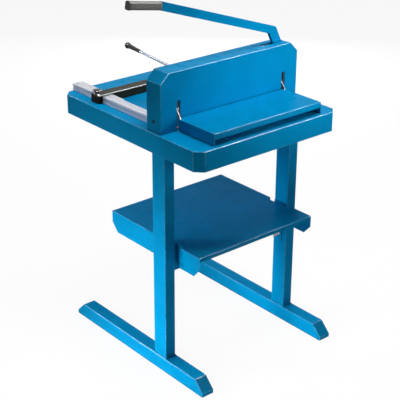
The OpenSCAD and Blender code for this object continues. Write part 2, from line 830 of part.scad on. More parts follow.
module axle_ring() placed() color("DimGray") difference() {
    rod_y([lever_x, lever_y0 - end_play - ring_t, pivot_z], ring_r, ring_t);
    rod_y([lever_x, lever_y0 - end_play - ring_t - cut, pivot_z], axle_r - ring_groove, ring_t + 2 * cut);
    slab_y(lever_y0 - end_play - ring_t - cut, lever_y0 - end_play + cut)
        polygon([[lever_x, pivot_z], [lever_x - ring_mouth, pivot_z - 2 * ring_r],
            [lever_x + ring_mouth, pivot_z - 2 * ring_r]]);
}

module cover_pins() placed() color("Silver") both_arms() {
    rod_x([$arm_x0 - end_play - cover_pin_head_h, cover_pin_y, cover_pin_z], cover_pin_head_r,
        cover_pin_head_h);
    rod_x([$arm_x0 - end_play, cover_pin_y, cover_pin_z], cover_pin_r,
        frame_x0 + cover_pin_depth - $arm_x0 + end_play);
}

module shaft_bearings() placed() color("SlateGray") for (x = bearing_x) difference() {
    union() {
        rod_x([x - bearing_w / 2, shaft_y, shaft_h], bearing_r, bearing_w);
        block([x - bearing_w / 2, house_y1, bearing_bolt_z - bearing_foot_h / 2],
            [x + bearing_w / 2, house_y1 + bearing_base, shaft_h + bearing_r]);
        block([x - bearing_w / 2, house_y1, shaft_h - bearing_r],
            [x + bearing_w / 2, shaft_y, shaft_h + bearing_r]);
    }
    rod_x([x - bearing_w / 2 - cut, shaft_y, shaft_h], shaft_r + run_fit, bearing_w + 2 * cut);
    rod_y([x, house_y1 - cut, bearing_bolt_z], m6_r + screw_gap, bearing_base + 2 * cut);
}

module bearing_bolts() placed() color("Silver") for (x = bearing_x)
    translate([x, house_y1 + bearing_base, bearing_bolt_z]) rotate([-90, 0, 0])
        bolt(m6_r, bearing_base + house_in + bearing_bolt_in, m6_head_r, m6_head_h);

module side_guide() placed() color("Gainsboro") difference() {
    union() {
        block([-guide_x, guide_y0, table_h], [guide_w - guide_x - guide_step, guide_y1, guide_z1]);
        block([-guide_x, guide_step_y, table_h], [guide_w - guide_x, guide_y1, guide_z1]);
        block([ridge_in - guide_x, guide_y0, guide_z1],
            [ridge_in + ridge_w - guide_x, guide_y1, guide_z1 + ridge_h]);
    }
    groove();
    block([guide_bore_x0 - guide_x, guide_y0 - cut, table_h + guide_wall],
        [guide_w - guide_x - guide_step - guide_wall, guide_y1 + cut, guide_z1 - guide_wall]);
    for (y = guide_screw_y)
        rod_z([guide_screw_in - guide_x, y, table_h - cut], m5_r, guide_wall + 2 * cut);
}

// The T-shaped groove that the back gauge's block slides in
module groove() {
    block([-guide_x - cut, guide_y0 - cut, table_h + groove_up],
        [groove_neck - guide_x + cut, guide_y1 + cut, table_h + groove_up + groove_w]);
    block([groove_neck - guide_x, guide_y0 - cut, table_h + groove_up - groove_wide],
        [groove_neck + groove_deep - guide_x, guide_y1 + cut,
            table_h + groove_up + groove_w + groove_wide]);
}

module guide_screws() placed() color("Silver") for (y = guide_screw_y)
    translate([guide_screw_in - guide_x, y, table_h - table_sheet]) rotate([180, 0, 0])
        bolt(m5_r, table_sheet + guide_wall, m5_head_r, m5_head_h);

module column() difference() {
    union() {
        block([column_x0, column_y0, foot_h], [column_x1, column_y1, column_top]);
        block([plate_x0, plate_y0, column_top], [plate_x1, plate_y1, column_top + plate_t]);
    }
    block([column_x0 + tube_wall, column_y0 + tube_wall, foot_h - cut],
        [column_x1 - tube_wall, column_y1 - tube_wall, column_top]);
    rod_z([frame_bolt_at[0][0], frame_bolt_at[0][1], column_top - cut], m8_r + screw_gap,
        plate_t + 2 * cut);
    rod_z([leg_x, plate_bolt_y, column_top - cut], m6_r + screw_gap, plate_t + 2 * cut);
    for (p = bracket_at) rod_x([column_x0 - cut, p[0] - leg_y, cross_z0 - p[1]], m5_r,
        tube_wall + 2 * cut);
}

module left_column() placed() color("SteelBlue") mirror([1, 0, 0]) column();

module right_column() placed() color("SteelBlue") column();

module foot_outline(inset) polygon([
    [-foot_y - foot_l / 2 + inset, -cut * sign(inset)],
    [-foot_y - foot_l / 2 + inset, toe_h - inset * (sqrt(2) - 1)],
    [-foot_y - foot_l / 2 + foot_run + inset * (sqrt(2) - 1), foot_h - inset],
    [-foot_y + foot_l / 2 - foot_run - inset * (sqrt(2) - 1), foot_h - inset],
    [-foot_y + foot_l / 2 - inset, toe_h - inset * (sqrt(2) - 1)],
    [-foot_y + foot_l / 2 - inset, -cut * sign(inset)]
]);

module foot() difference() {
    slab_x(leg_x - foot_w / 2, leg_x + foot_w / 2) foot_outline(0);
    slab_x(leg_x - foot_w / 2 + tube_wall, leg_x + foot_w / 2 - tube_wall) foot_outline(tube_wall);
}

module left_foot() placed() color("SteelBlue") mirror([1, 0, 0]) foot();

module right_foot() placed() color("SteelBlue") foot();

module table_bolts() placed() color("Silver") both_sides() {
    translate([frame_bolt_at[0][0], frame_bolt_at[0][1], column_top]) rotate([180, 0, 0])
        bolt(m8_r, plate_t + table_sheet + frame_bolt_up, m8_head_r, m8_head_h);
    translate([frame_bolt_at[1][0], frame_bolt_at[1][1], table_h - table_sheet]) rotate([180, 0, 0])
        bolt(m8_r, table_sheet + frame_bolt_up, m8_head_r, m8_head_h);
    translate([leg_x, plate_bolt_y, column_top]) rotate([180, 0, 0])
        bolt(m6_r, plate_t + table_sheet - stud_skin, m6_head_r, m6_head_h);
}

module shelf_plan(inset) difference() {
    translate([-shelf_x, shelf_y0]) square([shelf_w, shelf_d]);
    both_sides() translate([shelf_x - notch_in, notch_y0]) square([notch_in + cut, notch_y1 - notch_y0]);
}

module shelf() placed() color("RoyalBlue") {
    translate([0, 0, shelf_z0]) linear_extrude(shelf_sheet) shelf_plan();
    for (y = [shelf_y0, shelf_y1 - shelf_sheet])
        block([-shelf_x, y, shelf_z - shelf_lip], [shelf_x, y + shelf_sheet, shelf_z]);
    both_sides() difference() {
        union() {
            slab_x(shelf_x - shelf_sheet, shelf_x) polygon([
                [shelf_y0, shelf_z], [shelf_y0, shelf_z - flange_end],
                [shelf_y0 + flange_run, shelf_z - flange_mid],
                [shelf_y1 - flange_run, shelf_z - flange_mid],
                [shelf_y1, shelf_z - flange_end], [shelf_y1, shelf_z]
            ]);
            block([shelf_x - notch_in - shelf_sheet, notch_y0 - shelf_sheet, shelf_z - flange_mid],
                [shelf_x, notch_y1 + shelf_sheet, shelf_z]);
        }
        block([shelf_x - notch_in, notch_y0, shelf_z - flange_mid - cut],
            [shelf_x + cut, notch_y1, shelf_z + cut]);
        block([shelf_x - notch_in - shelf_sheet - cut, cross_y0 - sheet_gap, shelf_z - flange_mid - cut],
            [shelf_x, cross_y1 + sheet_gap, shelf_z0]);
    }
}

module shelf_beam() placed() color("SteelBlue") difference() {
    block([-bracket_x0, cross_y0, cross_z0], [bracket_x0, cross_y1, shelf_z0]);
    block([-bracket_x0 - cut, cross_y0 + tube_wall, cross_z0 + tube_wall],
        [bracket_x0 + cut, cross_y1 - tube_wall, shelf_z0 - tube_wall]);
}

module shelf_brackets() placed() color("SteelBlue") both_sides() difference() {
    slab_x(bracket_x0, column_x0) polygon([
        [cross_y0 - bracket_side, shelf_z0], [cross_y0 - bracket_side, cross_z0 - bracket_side],
        [cross_y0 + bracket_side, cross_z0 - bracket_side - bracket_step],
        [cross_y0 + bracket_side, cross_z0 - bracket_drop],
        [column_y1 - bracket_edge, cross_z0 - bracket_drop], [column_y1 - bracket_edge, shelf_z0]
    ]);
    for (p = bracket_at) rod_x([bracket_x0 - cut, p[0] - leg_y, cross_z0 - p[1]], m5_r + screw_gap,
        bracket_t + 2 * cut);
}

module bracket_screws() placed() color("Silver") both_sides() for (p = bracket_at)
    translate([bracket_x0, p[0] - leg_y, cross_z0 - p[1]]) rotate([0, -90, 0])
        screw(m5_r, bracket_screw_in, m5_head_r, m5_head_h);

module front_cover() placed() color("DodgerBlue") difference() {
    block([cover_x0, cover_y0, cover_z0], [cover_x1, cover_y1, cover_z1]);
    block([cover_x0 + cover_sheet, cover_y0 + cover_sheet, cover_z0 - cut],
        [cover_x1 - cover_sheet, cover_y1 + cut, cover_z1 - cover_sheet]);
    block([cover_x0 + cover_sheet, cover_y0 - cut, cover_z0 - cut],
        [cover_x1 - cover_sheet, cover_y0 + cover_sheet + cut, cover_z1 - cover_lip]);
    both_arms() {
        block([$arm_x1 - arm_notch_w, cover_y1 - arm_notch_l, cover_z1 - cover_sheet - cut],
            [$arm_x1, cover_y1 + cut, cover_z1 + cut]);
        for (i = [1, 2]) rod_x([$arm_x1 - cut, arm_bend_y - rivet_step * i, arm_leg_z], rivet_r,
            cover_sheet + 2 * cut);
    }
}

module cover_arms() placed() color("Silver") both_arms() difference() {
    union() {
        rod_x([$arm_x0, cover_pin_y, cover_pin_z], eye_r, arm_t);
        slab_x($arm_x0, $arm_x1) bent_bar([cover_pin_y, cover_pin_z], [arm_bend_y, arm_leg_z],
            [arm_bend_y - arm_leg_l, arm_leg_z], arm_w / 2);
    }
    rod_x([$arm_x0 - cut, cover_pin_y, cover_pin_z], cover_pin_r + run_fit, arm_t + 2 * cut);
    for (i = [1, 2]) rod_x([$arm_x0 - cut, arm_bend_y - rivet_step * i, arm_leg_z], rivet_r,
        arm_t + 2 * cut);
}

module arm_rivets() placed() color("Silver") both_arms() for (i = [1, 2]) {
    rod_x([$arm_x0, arm_bend_y - rivet_step * i, arm_leg_z], rivet_r, arm_t + cover_sheet);
    rod_x([$arm_x0 - rivet_head_h, arm_bend_y - rivet_step * i, arm_leg_z], rivet_head_r, rivet_head_h);
}

module blade_lever() placed() color("DodgerBlue") difference() {
    union() {
        rod_y([lever_x, lever_y0, pivot_z], hub_r, bar_t);
        rod_y([crank_pin_x, lever_y0, crank_pin_z], crank_end_r, bar_t);
        slab_y(lever_y0, lever_y1) {
            polygon([
                lever_p + crank_half * crank_side, crank_c + crank_half * crank_side,
                crank_c - crank_half * crank_side, lever_p - crank_half * crank_side
            ]);
            polygon(concat([
                lever_p + stem_w / 2 * stem_left, corner(lever_p, lever_e, lever_f, stem_w / 2, bar_w / 2),
                corner(lever_e, lever_f, lever_g, bar_w / 2, bar_w / 2), lever_g + bar_w / 2 * grip_left,
                lever_g - bar_w / 2 * grip_left, corner(lever_e, lever_f, lever_g, -bar_w / 2, -bar_w / 2)
            ], elbow_arc, [lever_p - stem_w / 2 * stem_left]));
            bent_bar(lever_f, lever_g, lever_t, tang_w / 2);
        }
    }
    rod_y([lever_x, lever_y0 - cut, pivot_z], axle_r + run_fit, bar_t + 2 * cut);
    rod_y([crank_pin_x, lever_y0 - cut, crank_pin_z], crank_pin_r, crank_pin_in + cut);
}

// Drawn along the grip, from its open end at zero
module grip_place() translate([lever_g[0], (lever_y0 + lever_y1) / 2, lever_g[1]])
    rotate([0, -grip_angle, 0]) children();

module rounded(w, h, r) {
    square([w - 2 * r, h], center = true);
    square([w, h - 2 * r], center = true);
    for (x = [-1, 1], y = [-1, 1]) translate([x * (w / 2 - r), y * (h / 2 - r)]) circle(r);
}

module lever_grip() placed() color("Gray") grip_place() rotate([0, 90, 0]) difference() {
    linear_extrude(grip_l - cap_l) rounded(grip_h, grip_w, grip_round);
    translate([0, 0, -cut]) linear_extrude(tang_l + cut) square([tang_w, bar_t], center = true);
}

module grip_cap() placed() color("DimGray") grip_place() rotate([0, 90, 0])
    translate([0, 0, grip_l - cap_l]) linear_extrude(cap_l)
        rounded(grip_h + cap_over, grip_w + cap_over, grip_round);

module drive_roller() placed() color("DimGray") difference() {
    rod_y([crank_pin_x, blade_y1 - roller_over, crank_pin_z], roller_r,
        lever_y0 - blade_y1 + roller_over);
    rod_y([crank_pin_x, blade_y1 - roller_over - cut, crank_pin_z], crank_pin_r + run_fit,
        lever_y0 - blade_y1 + roller_over + 2 * cut);
}

module roller_pin() placed() color("Silver") {
    rod_y([crank_pin_x, blade_y1 - roller_over, crank_pin_z], crank_pin_r,
        lever_y0 - blade_y1 + roller_over + crank_pin_in);
    rod_y([crank_pin_x, blade_y1 - roller_over - crank_head_h, crank_pin_z], crank_head_r, crank_head_h);
}

module blade_carrier() placed() color("SlateGray") difference() {
    slab_y(blade_y1, carrier_y1) polygon([
        [left_pin_x - carrier_end, carrier_z0], [left_pin_x - carrier_end, carrier_top - carrier_corner],
        [left_pin_x - carrier_end + carrier_corner, carrier_top],
        [right_pin_x + pin_lean + carrier_end - carrier_corner, carrier_top],
        [right_pin_x + pin_lean + carrier_end, carrier_top - carrier_corner],
        [right_pin_x + pin_lean + carrier_end, carrier_z0]
    ]);
    slot_y([crank_pin_x - roller_play, crank_pin_z],
        [crank_pin_x + blade_shift + roller_play, crank_pin_z],
        roller_r + slot_fit, blade_y1 - cut, carrier_y1 + cut);
    for (x = [left_pin_x, right_pin_x], i = [0, 1])
        rod_y([x + pin_lean * i, blade_y1 - cut, pin_low_z + pin_step * i], pin_spigot_r,
            carrier_t + 2 * cut);
    for (x = blade_bolt_x)
        rod_y([x, blade_y1 - cut, carrier_z0 + blade_bolts_up], m8_r, carrier_t + 2 * cut);
}

module blade() placed() color("Gainsboro") difference() {
    block([blade_x - blade_l / 2, blade_y0, edge_z], [blade_x + blade_l / 2, blade_y1, edge_z + blade_h]);
    // The bevel faces the front, and the edge is at the back face
    slab_x(blade_x - blade_l / 2 - cut, blade_x + blade_l / 2 + cut)
        polygon([
            [blade_y0 - cut, edge_z - cut], [blade_y1 - blade_land, edge_z - cut],
            [blade_y1 - blade_land, edge_z], [blade_y0, edge_z + blade_bevel],
            [blade_y0 - cut, edge_z + blade_bevel]
        ]);
    for (x = blade_bolt_x) translate([x, blade_y0, carrier_z0 + blade_bolts_up]) rotate([90, 0, 0])
        flat_screw(m8_r, blade_t + cut, blade_head_r);
}

module blade_bolts() placed() color("DimGray") for (x = blade_bolt_x)
    translate([x, blade_y0, carrier_z0 + blade_bolts_up]) rotate([90, 0, 0]) difference() {
        flat_screw(m8_r, blade_t + carrier_t, blade_head_r);
        translate([0, 0, -socket_deep]) cylinder(r = m8_r * socket_share, h = socket_deep + cut, $fn = 6);
    }

module guide_pins() placed() color("Silver") for (x = [left_pin_x, right_pin_x], i = [0, 1])
    translate([x + pin_lean * i, 0, pin_low_z + pin_step * i]) {
        rod_y([0, blade_y1, 0], pin_spigot_r, carrier_t);
        rod_y([0, frame_y0 + pin_tip_gap, 0], guide_r, blade_y1 - frame_y0 - pin_tip_gap);
    }

module clamp_bar() placed() color("SlateGray") difference() {
    union() {
        block([-clamp_x, clamp_y0, clamp_z0], [clamp_x, clamp_y1, clamp_foot_z]);
        block([-clamp_x, rack_y0, clamp_foot_z],
            [clamp_x, rack_y0 + clamp_web_t, clamp_z0 + clamp_web_h]);
    }
    both_sides() {
        block([rack_x - rack_w / 2, rack_y0 - cut, clamp_foot_z],
            [rack_x + rack_w / 2, rack_tip_y, clamp_z0 + clamp_web_h + cut]);
        translate([rack_x, rack_screw_y, clamp_z0]) rotate([180, 0, 0])
            flat_screw(m5_r, clamp_foot_h + cut, m5_head_r);
    }
}

function rack_tooth(z) = [
    [rack_root_y, z - tooth_half(rack_root_y)], [rack_tip_y, z - tooth_half(rack_tip_y)],
    [rack_tip_y, z + tooth_half(rack_tip_y)], [rack_root_y, z + tooth_half(rack_root_y)]
];
function tooth_half(y) = tooth_pitch / 4 - tooth_play / 2 + (rack_line_y - y) * tan(pressure_angle);

module clamp_racks() placed() color("Silver") both_sides() difference() {
    slab_x(rack_x - rack_w / 2, rack_x + rack_w / 2) {
        translate([rack_y0, clamp_foot_z]) square([rack_back, rack_top - clamp_foot_z]);
        translate([rack_y0, clamp_foot_z]) square([rack_tip_y - rack_y0, rack_teeth_z0 - clamp_foot_z]);
        for (i = [-rack_rows_below:rack_rows_above])
            polygon(rack_tooth(shaft_h + tooth_pitch * (i + 1 / 2)));
    }
    rod_z([rack_x, rack_screw_y, clamp_foot_z - cut], m5_r, rack_screw_in + cut);
}

module rack_screws() placed() color("DimGray") both_sides() translate([rack_x, rack_screw_y, clamp_z0])
    rotate([180, 0, 0]) difference() {
        flat_screw(m5_r, clamp_foot_h + rack_screw_in, m5_head_r);
        translate([0, 0, -m5_socket_deep])
            cylinder(r = m5_r * socket_share, h = m5_socket_deep + cut, $fn = 6);
    }

module clamp_shaft() placed() color("Silver") {
    rod_x([-shaft_x1, shaft_y, shaft_h], shaft_r, 2 * shaft_x1);
    both_sides() rod_x([bearing_x1 + shaft_collar_gap, shaft_y, shaft_h], shaft_collar_r,
        shaft_x1 - bearing_x1 - shaft_collar_gap);
}

// Half of a tooth's angle at a radius, on an involute flank
function flank(r) = let (a = acos(min(1, base_r / r)))
    90 / sector_teeth - tooth_play / 2 / pitch_r * 180 / PI + involute(pressure_angle) - involute(a);
function involute(a) = tan(a) * 180 / PI - a;
function flank_r(i) = base_r + (tip_r - base_r) * i / flank_steps;
function polar(r, a) = [shaft_y + r * cos(a), shaft_h + r * sin(a)];
function sector_tooth(a) = concat(
    [polar(root_r - sheet_gap, a + flank(base_r))],
    [for (i = [0:flank_steps]) polar(flank_r(i), a + flank(flank_r(i)))],
    [for (i = [flank_steps:-1:0]) polar(flank_r(i), a - flank(flank_r(i)))],
    [polar(root_r - sheet_gap, a - flank(base_r))]
);

module clamp_sectors() placed() color("DimGray") both_sides() difference() {
    union() {
        slab_x(rack_x - rack_w / 2, rack_x + rack_w / 2) {
            polygon(concat([[shaft_y, shaft_h]], [for (i = [0:sector_steps])
                polar(root_r, sector_a0 + (sector_a1 - sector_a0) * i / sector_steps)]));
            for (i = [-teeth_above:teeth_below]) polygon(sector_tooth(180 + tooth_step * i));
        }
        rod_x([rack_x - rack_w / 2, shaft_y, shaft_h], sector_hub_r, rack_w);
    }
    rod_x([rack_x - rack_w / 2 - cut, shaft_y, shaft_h], shaft_r, rack_w + 2 * cut);
}

// Drawn along the clamp lever, from the shaft's middle at zero
module clamp_place() translate([-clamp_lever_x, shaft_y, shaft_h]) rotate([clamp_lever_rise, 0, 0])
    children();

module clamp_lever() placed() color("Silver") clamp_place() difference() {
    union() {
        rod_x([-clamp_hub_w / 2, 0, 0], clamp_hub_r, clamp_hub_w);
        rod_y([0, 0, 0], rod_r, clamp_grip_y + rod_in);
    }
    rod_x([-clamp_hub_w / 2 - cut, 0, 0], shaft_r, clamp_hub_w + 2 * cut);
}

module clamp_grip() placed() color("Black") clamp_place() translate([0, clamp_grip_y, 0])
    rotate([-90, 0, 0])
    rotate_extrude() polygon(concat(
        [[0, clamp_grip_l], [0, rod_in], [rod_r, rod_in], [rod_r, 0], [grip_neck_r, 0]],
        [for (i = [0:ball_steps - 1]) let (a = ball_from + (ball_to - ball_from) * i / ball_steps)
            [ball_r * cos(a), ball_z + ball_r * sin(a)]]
    ));

module back_gauge() placed() color("Black") difference() {
    union() {
        block([-guide_x - gauge_out, gauge_y, gauge_z_under], [gauge_x1 + gauge_l, gauge_y1, gauge_z1]);
        block([gauge_x1, gauge_y, table_h + gauge_floor_gap], [gauge_x1 + gauge_l, gauge_y1, gauge_z1]);
    }
    block([gauge_x1 + gauge_hollow, gauge_y + gauge_hollow, table_h],
        [gauge_x1 + gauge_l + cut, gauge_y1 - gauge_hollow, gauge_z1 - gauge_hollow]);
    block([strip_x0, gauge_y - cut, gauge_z1 - strip_in],
        [gauge_x1 + gauge_l + cut, gauge_y + strip_w, gauge_z1 + cut]);
    rod_z([knob_x, knob_y, gauge_z_under - cut], knob_stem_r + run_fit, gauge_h);
    for (y = gauge_screw_y) translate([knob_x, y, gauge_z1]) flat_screw(m5_r, gauge_h, m5_head_r);
}

module gauge_strip() placed() color("Silver")
    block([strip_x0, gauge_y, gauge_z1 - strip_in],
        [gauge_x1 + gauge_l, gauge_y + strip_w, gauge_z1 - strip_in + strip_t]);

module gauge_block() placed() color("Black") difference() {
    union() {
        block([-guide_x - gauge_out, gauge_y, block_z0],
            [-guide_x - tongue_gap, gauge_y1, gauge_z_under]);
        block([-guide_x - gauge_out, gauge_y, table_h + groove_up + tongue_gap],
            [groove_neck - guide_x + tongue_gap, gauge_y1, table_h + groove_up + groove_w - tongue_gap]);
        block([groove_neck + tongue_gap - guide_x, gauge_y,
            table_h + groove_up - groove_wide + tongue_gap],
            [groove_neck + groove_deep - tongue_gap - guide_x, gauge_y1,
                table_h + groove_up + groove_w + groove_wide - tongue_gap]);
    }
    rod_z([knob_x, knob_y, block_z0 - cut], knob_stem_r + run_fit, gauge_h);
    for (y = gauge_screw_y)
        rod_z([knob_x, y, gauge_z_under - gauge_screw_deep], m5_r, gauge_screw_deep + cut);
}

module gauge_screws() placed() color("Silver") for (y = gauge_screw_y)
    translate([knob_x, y, gauge_z1]) difference() {
        flat_screw(m5_r, gauge_z1 - gauge_z_under + gauge_screw_deep, m5_head_r);
        translate([0, 0, -m5_socket_deep])
            cylinder(r = m5_r * socket_share, h = m5_socket_deep + cut, $fn = 6);
    }

module gauge_knob() placed() color("Black") translate([knob_x, knob_y, 0]) {
    rod_z([0, 0, knob_base_z - knob_stem_l], knob_stem_r, knob_stem_l + knob_stem_in);
    rotate_extrude() polygon(concat(
        [[0, knob_base_z], [knob_neck_r, knob_base_z], [knob_neck_r, (knob_base_z + knob_disc_z) / 2]],
        [for (p = knob_shares) [p[0] * knob_r, knob_disc_z + p[1] * knob_disc_h]]
    ));
}

table_top();
cutting_stick();
stick_channel();
housing_shell();
left_end_frame();
right_end_frame();
frame_beam();
frame_bolts();
housing_screws();
lever_axle();
axle_ring();
cover_pins();
shaft_bearings();
bearing_bolts();
side_guide();
guide_screws();
left_column();
right_column();
left_foot();
right_foot();
table_bolts();
shelf();
shelf_beam();
shelf_brackets();
bracket_screws();
front_cover();
cover_arms();
arm_rivets();
blade_lever();
lever_grip();
grip_cap();
drive_roller();
roller_pin();
blade_carrier();
blade();
blade_bolts();
guide_pins();
clamp_bar();
clamp_racks();
rack_screws();
clamp_shaft();
clamp_sectors();
clamp_lever();
clamp_grip();
back_gauge();
gauge_strip();
gauge_block();
gauge_screws();
gauge_knob();
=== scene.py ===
# Looks of the stack paper cutter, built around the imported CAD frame
import json
import math

import bmesh
import bpy
from mathutils import Matrix, Vector

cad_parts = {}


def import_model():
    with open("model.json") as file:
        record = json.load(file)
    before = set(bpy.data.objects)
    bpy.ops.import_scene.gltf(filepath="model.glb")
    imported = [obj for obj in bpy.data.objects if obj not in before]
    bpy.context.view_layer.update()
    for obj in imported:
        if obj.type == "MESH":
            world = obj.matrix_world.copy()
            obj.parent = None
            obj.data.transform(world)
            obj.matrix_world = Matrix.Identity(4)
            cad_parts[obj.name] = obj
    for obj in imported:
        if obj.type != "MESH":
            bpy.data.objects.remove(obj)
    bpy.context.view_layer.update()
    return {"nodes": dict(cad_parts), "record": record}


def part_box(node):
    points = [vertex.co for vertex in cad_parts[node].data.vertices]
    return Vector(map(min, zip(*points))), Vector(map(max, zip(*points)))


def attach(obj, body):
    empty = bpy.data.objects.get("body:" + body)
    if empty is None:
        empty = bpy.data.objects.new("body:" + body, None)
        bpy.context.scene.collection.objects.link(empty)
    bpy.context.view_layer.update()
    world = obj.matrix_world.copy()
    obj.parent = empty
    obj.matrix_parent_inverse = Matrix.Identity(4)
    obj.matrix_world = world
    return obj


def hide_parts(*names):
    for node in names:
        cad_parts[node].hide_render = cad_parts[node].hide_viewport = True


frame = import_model()
NODES = frame["nodes"]
BODY = {n: b for b, ns in frame["record"]["behaviour"]["bodies"].items() for n in ns}

# The photograph's frame and its camera, in metres in the model's frame
IMAGE = 400.0
SENSOR = 36.0
FOCAL = 1093.56
CAMERA_AT = Vector((-2.0990367, -2.5351748, 1.9970311))
CAMERA_RIGHT = Vector((0.7642912, -0.6448533, 0.0048187))
CAMERA_UP = Vector((0.2654427, 0.3213996, 0.9089788))
CAMERA_AHEAD = Vector((0.5877067, 0.6934454, -0.4168145))
CLIP_START = 0.1
CLIP_END = 60.0

# Face attribute that marks the rounded folds of sheet metal
FOLD = "fold"

# Meshes: distances in metres and angles in degrees
SAME_POINT = 2e-6
NO_LENGTH = 1e-12
FLAT_ANGLE = 0.6
FOLD_ANGLE = 24
EDGE_ANGLE = 35
GENTLE_ANGLE = 32
FOLD_STEPS = 4
SHORTEST_FOLD = 0.006
SHORTEST_EDGE = 0.0012

# How a plane's area, in square millimetres, weighs in a corner's normal
SQUARE_MM = 1e6
AREA_POWER = 1.5

# Where the pieces depart from the solids, in metres, and the clamp lever's rise
CLAMP_RISE = math.radians(4.4)
GRIP_LESS = 0.017
GRIP_MORE = 0.017
FLANGE_GAP = 0.007
SLOT_OUT = 0.003

# How near a point is to the end, edge or face that it belongs to, in metres
END_ZONE = 0.01
NECK_ZONE = 0.0005
FLANGE_BACK_ZONE = 0.0001
FLANGE_TOP_ZONE = 0.002
SLOT_SIDE_ZONE = 0.004
SLOT_FRONT_ZONE = 0.003
SLOT_ABOVE_COVER = 0.06

# Weld beads: radius and pitch in metres, and shares of the radius
WELD_R = 0.0026
WELD_PITCH = 0.006
WELD_SUNK = 0.25
WELD_RIPPLE = 0.16
WELD_DRIFT = 0.35
WELD_DRIFT_STEP = 1.7
WELD_SIDES = 8

# Guide's graduation: pitch, half width and length of each kind of line, and the top's depth, in metres
GRADUATION = ((0.001, 0.00012, 0.008), (0.005, 0.0003, 0.05), (0.01, 0.0011, 0.05))
TOP_DEPTH = 0.0003
GUIDE_RIM = 0.0008

# World: its light on the object, and the white that the camera and mirrors see
WORLD_LIGHT = 0.05
WORLD_WHITE = 0.96

# Floor: its tone in other light, the share of it that is seen white, its half width and roughness
FLOOR_LIT = 0.45
FLOOR_WHITE = 0.92
FLOOR_HALF = 30.0
FLOOR_ROUGH = 0.7


class Shader:
    """A material whose nodes are added and linked in short calls."""

    def __init__(self, name, **inputs):
        self.mat = bpy.data.materials.new(name)
        self.mat.use_nodes = True
        self.tree = self.mat.node_tree
        self.bsdf = self.tree.nodes["Principled BSDF"]
        self.obj = self.tree.nodes.new("ShaderNodeTexCoord").outputs["Object"]
        for key, value in inputs.items():
            self.bsdf.inputs[key.replace("_", " ")].default_value = value

    def add(self, kind, outlet=0, **inputs):
        """Adds a node. A word in small letters is a setting, _3 is the input of that number."""
        node = self.tree.nodes.new("ShaderNode" + kind)
        for key, value in inputs.items():
            if hasattr(node, key) and not key[0].isupper():
                setattr(node, key, value)
                continue
            socket = node.inputs[int(key[1:])] if key[0] == "_" else node.inputs[key.replace("_", " ")]
            if isinstance(value, bpy.types.NodeSocket):
                self.tree.links.new(value, socket)
            else:
                socket.default_value = value
        return node.outputs[outlet]

    def math(self, op, a, b=0.0):
        return self.add("Math", operation=op, _0=a, _1=b)

    def noise(self, scale, detail=2.0, rough=0.5, vector=None):
        return self.add("TexNoise", Vector=vector or self.obj, Scale=scale, Detail=detail, Roughness=rough)

    def stretch(self, x, y, z):
        return self.add("Mapping", Vector=self.obj, Scale=(x, y, z))

    def span(self, value, low, high, to_low, to_high):
        return self.add("MapRange", Value=value, From_Min=low, From_Max=high, To_Min=to_low, To_Max=to_high)

    def mix(self, fac, a, b):
        return self.add("Mix", outlet=2, data_type="RGBA", _0=fac, _6=a, _7=b)

    def axes(self):
        split = self.tree.nodes.new("ShaderNodeSeparateXYZ")
        self.tree.links.new(self.obj, split.inputs[0])
        return split.outputs

    def edges(self, radius, low=0.02, high=0.25):
        """1 along edges that are sharper than the radius, else 0."""
        soft = self.add("Bevel", samples=6, Radius=radius)
        plain = self.add("NewGeometry", outlet=1)
        dot = self.add("VectorMath", outlet=1, operation="DOT_PRODUCT", _0=soft, _1=plain)
        return self.span(self.math("SUBTRACT", 1.0, dot), low, high, 0.0, 1.0)

    def bump(self, height, strength, distance, under=None):
        args = {"Height": height, "Strength": strength, "Distance": distance}
        if under is not None:
            args["Normal"] = under
        return self.add("Bump", **args)

    def out(self, **sockets):
        for key, value in sockets.items():
            self.tree.links.new(value, self.bsdf.inputs[key.replace("_", " ")])
        return self.mat


def linear(c):
    """One channel of a picture, 0 to 255, as linear light."""
    c /= 255
    return c / 12.92 if c < 0.04 else ((c + 0.055) / 1.055) ** 2.4


def rgb(r, g, b):
    """A colour as written in a picture, 0 to 255, in scene light."""
    return (linear(r), linear(g), linear(b), 1.0)


def shade(colour, by):
    """A colour made darker or lighter by a factor."""
    return tuple(c * by for c in colour[:3]) + (1.0,)


def powder(name, colour, pale, dark):
    """Powder coat: orange peel, a slow drift of colour, painted shade in joints and creases, and glossy
    folds painted paler as wear and as a painted highlight.
    """
    s = Shader(name, IOR=1.5, Specular_IOR_Level=0.01, Coat_Roughness=0.16, Coat_IOR=1.5)
    drift = s.span(s.noise(2.6, 3.0), 0.3, 0.7, 0.0, 1.0)
    cloud = s.span(s.noise(14.0, 4.0, 0.6), 0.45, 0.75, 0.0, 0.7)
    base = s.mix(drift, shade(colour, 0.92), colour)
    base = s.mix(cloud, base, shade(colour, 1.1))
    # Folds painted paler in patches: partly wear of a thinner coat, partly a painted highlight along the
    # folds
    fold = s.add("Attribute", outlet=2, attribute_name=FOLD)
    patch = s.span(s.noise(70.0, 4.0, 0.65), 0.4, 0.62, 0.0, 0.3)
    base = s.mix(s.math("MULTIPLY", fold, patch), base, pale)
    # Painted shade: ambient occlusion darkens joints, creases and recesses within 14 mm towards the dark
    # colour
    open_share = s.add("AmbientOcclusion", outlet=1, samples=8, Distance=0.014)
    painted_shade = s.span(open_share, 0.3, 0.75, 0.9, 0.0)
    base = s.mix(painted_shade, base, dark)
    waves = s.bump(s.noise(150.0, 1.5), 0.08, 0.0010)
    peel = s.bump(s.noise(420.0, 2.0, 0.45), 0.12, 0.0005, waves)
    gloss = s.span(s.noise(9.0, 4.0), 0.3, 0.7, 0.23, 0.33)
    coat = s.math("MULTIPLY", fold, 0.4)
    return s.out(Base_Color=base, Roughness=gloss, Normal=peel, Coat_Weight=coat)


